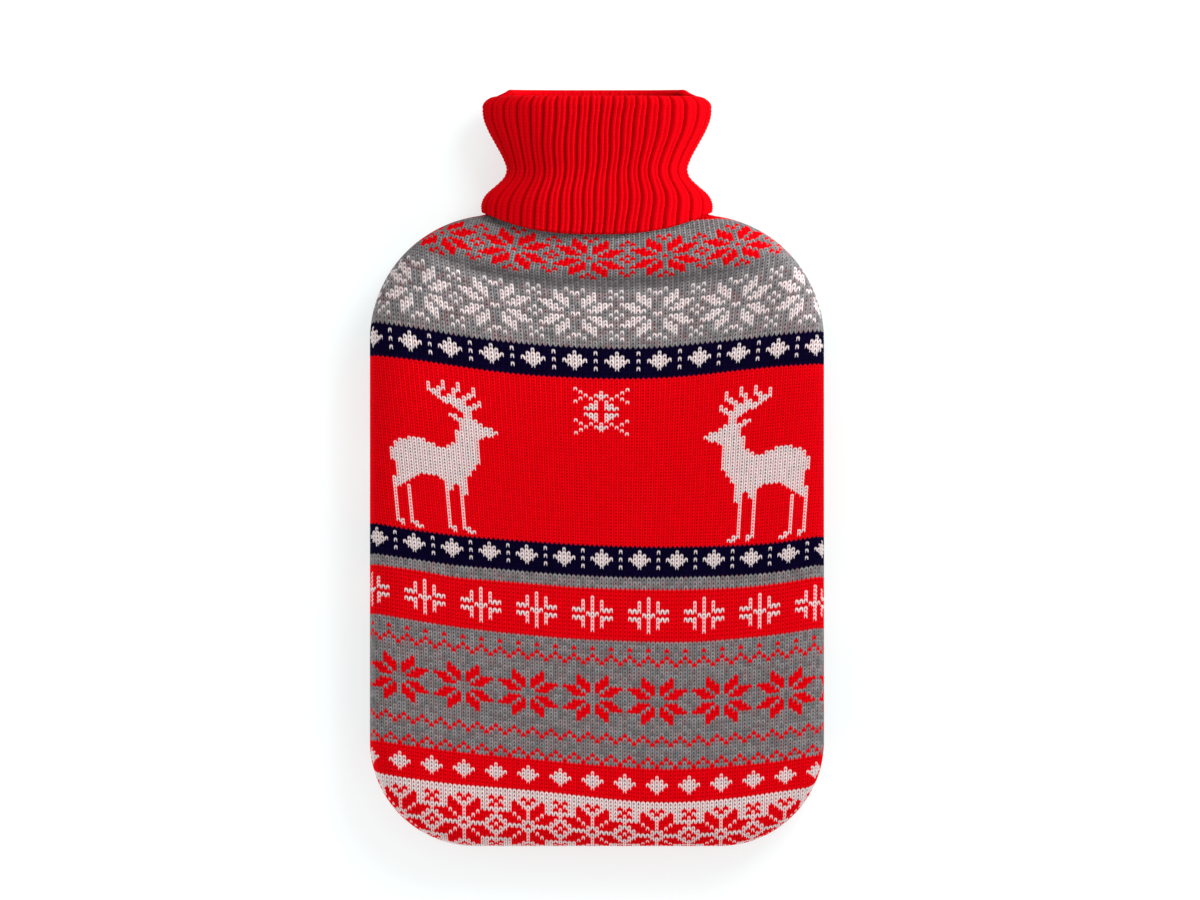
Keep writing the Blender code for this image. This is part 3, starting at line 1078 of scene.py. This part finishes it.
def add_collar(settings, look):
    """The collar: a grid wrapped round the neck one way and round its own section the other."""
    angles, shares = girth_angles()
    rows = collar_rows()
    lines = np.array(RIB_LINES)
    across, along = RIBS * len(lines), len(rows)
    mesh, points, faces, corners = grid_mesh("collar_rib", across, along)
    i, j = points[:, 0], points[:, 1] % along
    line = lines[i % len(lines)]
    slant = np.array(RIB_SLANTS)[i % len(lines)]
    stretch = rows[j, 0].astype(int)
    share, depth, ribbed, phase = rows[j, 1], rows[j, 2], rows[j, 3], rows[j, 4]
    girth_share = (i // len(lines) + line[:, 0]) / RIBS
    straight = np.interp(girth_share % 1.0, shares, angles)
    y = collar_y(stretch, share, straight)
    lean = RIB_TWIST * (y - COLLAR_ROOT_Y) / (FOLD_FRONT_Y - LOWER_EDGE_MIDDLE_Y)
    for wander, length, times in RIB_WANDER:
        lean = lean + wander * np.sin(2 * math.pi * (y / length + times * girth_share))
    angle = np.interp((girth_share - lean / RIBS) % 1.0, shares, angles)
    outer = (depth == 0.0) & (stretch < 2)
    y = collar_y(stretch, share, angle) + np.where(outer, slant * RIB_SLANT, 0.0)
    scallop = line[:, 1] * (1 - share) ** SCALLOP_FADE * EDGE_SCALLOP
    y = y + np.where(outer & (stretch == 0), scallop, 0.0)
    sunk = np.where(ribbed >= 0, ribbed * line[:, 1], ribbed * (1 - line[:, 1]))
    relief = settings.rib_relief * sunk
    relief = relief + np.where(outer & (phase == 0), settings.stitch_relief, 0.0)
    place_points(mesh, collar_point(angle, y, depth + relief))
    # Painted shade: the rib's red is darkened all over
    add_plain_red(mesh, faces, yarn_colours(settings)[RED] * COLLAR_PAINTED_SHADE)
    # Painted shade in the valleys between the ribs, and fainter on the faces without ribs
    painted_shade = np.where(ribbed > 0, line[:, 1] ** VALLEY_POWER, PLAIN_FACE_SHADE * (ribbed == 0))
    add_value(mesh, "painted_shade", painted_shade * RIB_VALLEY_SHADE)
    add_map(mesh, "OFBake", corners / (across, along))
    add_map(mesh, "stitches", corners / (len(lines) / RIB_WALES, 2))
    shape = bmesh.new()
    shape.from_mesh(mesh)
    bmesh.ops.remove_doubles(shape, verts=shape.verts[:], dist=SAME_POINT)
    bmesh.ops.recalc_face_normals(shape, faces=shape.faces[:])
    shape.to_mesh(mesh)
    shape.free()
    return new_piece("collar_rib", mesh, look, "collar")


# --- The panels' sheets ------------------------------------------------------------------------


# The panel's upper and lower halves: their name, first row and the row after their last
HALVES = (("upper", FIRST_ROW, SPLIT_ROW), ("lower", SPLIT_ROW, LAST_ROW + 1))


def knit_panel(settings, side, surface, mirrored):
    """One panel's outer face, in an upper and a lower half."""
    look = yarn_look("patterned knit, " + side)
    for half, first_row, end_row in HALVES:
        name = side + "_knit_" + half
        piece = knit_skin(
            name, surface, mirrored, first_row, end_row, settings, look, side + "_panel"
        )


# --- The stage ---------------------------------------------------------------------------------


# The floor is a little bluer than grey, which makes up for the red that the knit casts on it
FLOOR_SIZE = 4.0
FLOOR_ROUGHNESS = 0.9
FLOOR_GLOW = 0.61
PLAIN_WHITE = (1.0, 1.0, 1.0, 1.0)
SKY_STRENGTH = 0.90
# Lights: place, what each is aimed at, and power in watts
SOFT_LIGHT_PLACE = (0.80, 1.00, 1.55)
SOFT_LIGHT_AIM = (0.0, 0.0, 0.0)
SOFT_LIGHT_POWER = 15.5
SOFT_LIGHT_SIZE = 0.7
LOW_LIGHT_PLACE = (1.13, 0.36, 0.30)
LOW_LIGHT_AIM = (0.004, 0.159, 0.04)
LOW_LIGHT_POWER = 400.0
LOW_LIGHT_CONE = 0.088
LOW_LIGHT_BLEND = 0.6
LOW_LIGHT_RADIUS = 0.10
# The camera looks straight down from far above, so that the photo's width spans this much
CAMERA_PLACE = (0.0014, 0.0082, 8.0)
PHOTO_WIDTH = 0.555
SENSOR = 0.036


def add_floor(colour):
    shape = bmesh.new()
    bmesh.ops.create_grid(shape, x_segments=1, y_segments=1, size=FLOOR_SIZE)
    mesh = bpy.data.meshes.new("floor")
    shape.to_mesh(mesh)
    shape.free()
    look = bpy.data.materials.new("pale floor")
    look.use_nodes = True
    shader = look.node_tree.nodes["Principled BSDF"]
    shader.inputs["Base Color"].default_value = (*colour, 1.0)
    shader.inputs["Roughness"].default_value = FLOOR_ROUGHNESS
    shader.inputs["Emission Color"].default_value = PLAIN_WHITE
    shader.inputs["Emission Strength"].default_value = FLOOR_GLOW
    mesh.materials.append(look)
    floor = bpy.data.objects.new("floor", mesh)
    bpy.context.scene.collection.objects.link(floor)


def add_sky():
    world = bpy.data.worlds.new("studio")
    bpy.context.scene.world = world
    world.use_nodes = True
    background = world.node_tree.nodes["Background"]
    background.inputs["Color"].default_value = PLAIN_WHITE
    background.inputs["Strength"].default_value = SKY_STRENGTH


def add_light(name, kind, place, aim, power):
    data = bpy.data.lights.new(name, kind)
    data.energy = power
    light = bpy.data.objects.new(name, data)
    light.location = place
    light.rotation_euler = (Vector(aim) - Vector(place)).to_track_quat("-Z", "Y").to_euler()
    bpy.context.scene.collection.objects.link(light)
    return data


def add_lights():
    soft = add_light(
        "soft light, upper right", "AREA", SOFT_LIGHT_PLACE, SOFT_LIGHT_AIM, SOFT_LIGHT_POWER
    )
    soft.size = SOFT_LIGHT_SIZE
    low = add_light(
        "low light on the collar", "SPOT", LOW_LIGHT_PLACE, LOW_LIGHT_AIM, LOW_LIGHT_POWER
    )
    low.spot_size = LOW_LIGHT_CONE
    low.spot_blend = LOW_LIGHT_BLEND
    low.shadow_soft_size = LOW_LIGHT_RADIUS


def add_camera():
    data = bpy.data.cameras.new("camera")
    data.sensor_width = SENSOR * 1000
    data.lens = data.sensor_width * (CAMERA_PLACE[2] - SEAM_HEIGHT) / PHOTO_WIDTH
    camera = bpy.data.objects.new("camera", data)
    camera.location = CAMERA_PLACE
    bpy.context.scene.collection.objects.link(camera)
    bpy.context.scene.camera = camera


# --- Operators ---------------------------------------------------------------------------------


class KNITCOVER_OT_front(bpy.types.Operator):
    """Knit the front panel, stitch by stitch."""

    bl_idname = "knit_cover.front"
    bl_label = "Front Panel"

    def execute(self, context):
        knit_panel(context.scene.knit_cover, "front", front_surface, False)
        return {"FINISHED"}


class KNITCOVER_OT_back(bpy.types.Operator):
    """Knit the back panel, stitch by stitch."""

    bl_idname = "knit_cover.back"
    bl_label = "Back Panel"

    def execute(self, context):
        knit_panel(context.scene.knit_cover, "back", back_surface, True)
        return {"FINISHED"}


class KNITCOVER_OT_inside(bpy.types.Operator):
    """Add the wrong side of both panels, seen through the mouth."""

    bl_idname = "knit_cover.inside"
    bl_label = "Inner Faces"

    def execute(self, context):
        settings = context.scene.knit_cover
        look = yarn_look("wrong side of the knit")
        front = inner_skin("front_inside", front_surface, 1.0, settings, look, "front_panel")
        back = inner_skin("back_inside", back_surface, -1.0, settings, look, "back_panel")
        return {"FINISHED"}


class KNITCOVER_OT_collar(bpy.types.Operator):
    """Knit the ribbed collar, turned down over itself."""

    bl_idname = "knit_cover.collar"
    bl_label = "Ribbed Collar"

    def execute(self, context):
        settings = context.scene.knit_cover
        piece = add_collar(settings, yarn_look("red rib knit", COLLAR_GAPS))
        return {"FINISHED"}


class KNITCOVER_OT_stage(bpy.types.Operator):
    """Add the floor, the lights and the camera."""

    bl_idname = "knit_cover.stage"
    bl_label = "Stage"

    def execute(self, context):
        add_floor(context.scene.knit_cover.floor)
        add_sky()
        add_lights()
        add_camera()
        context.scene.view_settings.view_transform = "Standard"
        return {"FINISHED"}


class KNITCOVER_PT_tools(bpy.types.Panel):
    """Lists the cover's pieces and the stage."""

    bl_idname = "KNITCOVER_PT_tools"
    bl_label = "Knitted Cover"
    bl_space_type = "VIEW_3D"
    bl_region_type = "UI"
    bl_category = "Knitted Cover"

    def draw(self, context):
        for operator in OPERATORS:
            self.layout.operator(operator.bl_idname)
        for name in KnitCoverSettings.__annotations__:
            self.layout.prop(context.scene.knit_cover, name)


OPERATORS = (
    KNITCOVER_OT_front,
    KNITCOVER_OT_back,
    KNITCOVER_OT_inside,
    KNITCOVER_OT_collar,
    KNITCOVER_OT_stage,
)


def register():
    for kind in (KnitCoverSettings, *OPERATORS, KNITCOVER_PT_tools):
        bpy.utils.register_class(kind)
    bpy.types.Scene.knit_cover = PointerProperty(type=KnitCoverSettings)


def unregister():
    del bpy.types.Scene.knit_cover
    for kind in reversed((KnitCoverSettings, *OPERATORS, KNITCOVER_PT_tools)):
        bpy.utils.unregister_class(kind)


def main():
    register()
    bpy.ops.knit_cover.front()
    bpy.ops.knit_cover.back()
    bpy.ops.knit_cover.inside()
    bpy.ops.knit_cover.collar()
    bpy.ops.knit_cover.stage()


if __name__ == "__main__":
    main()
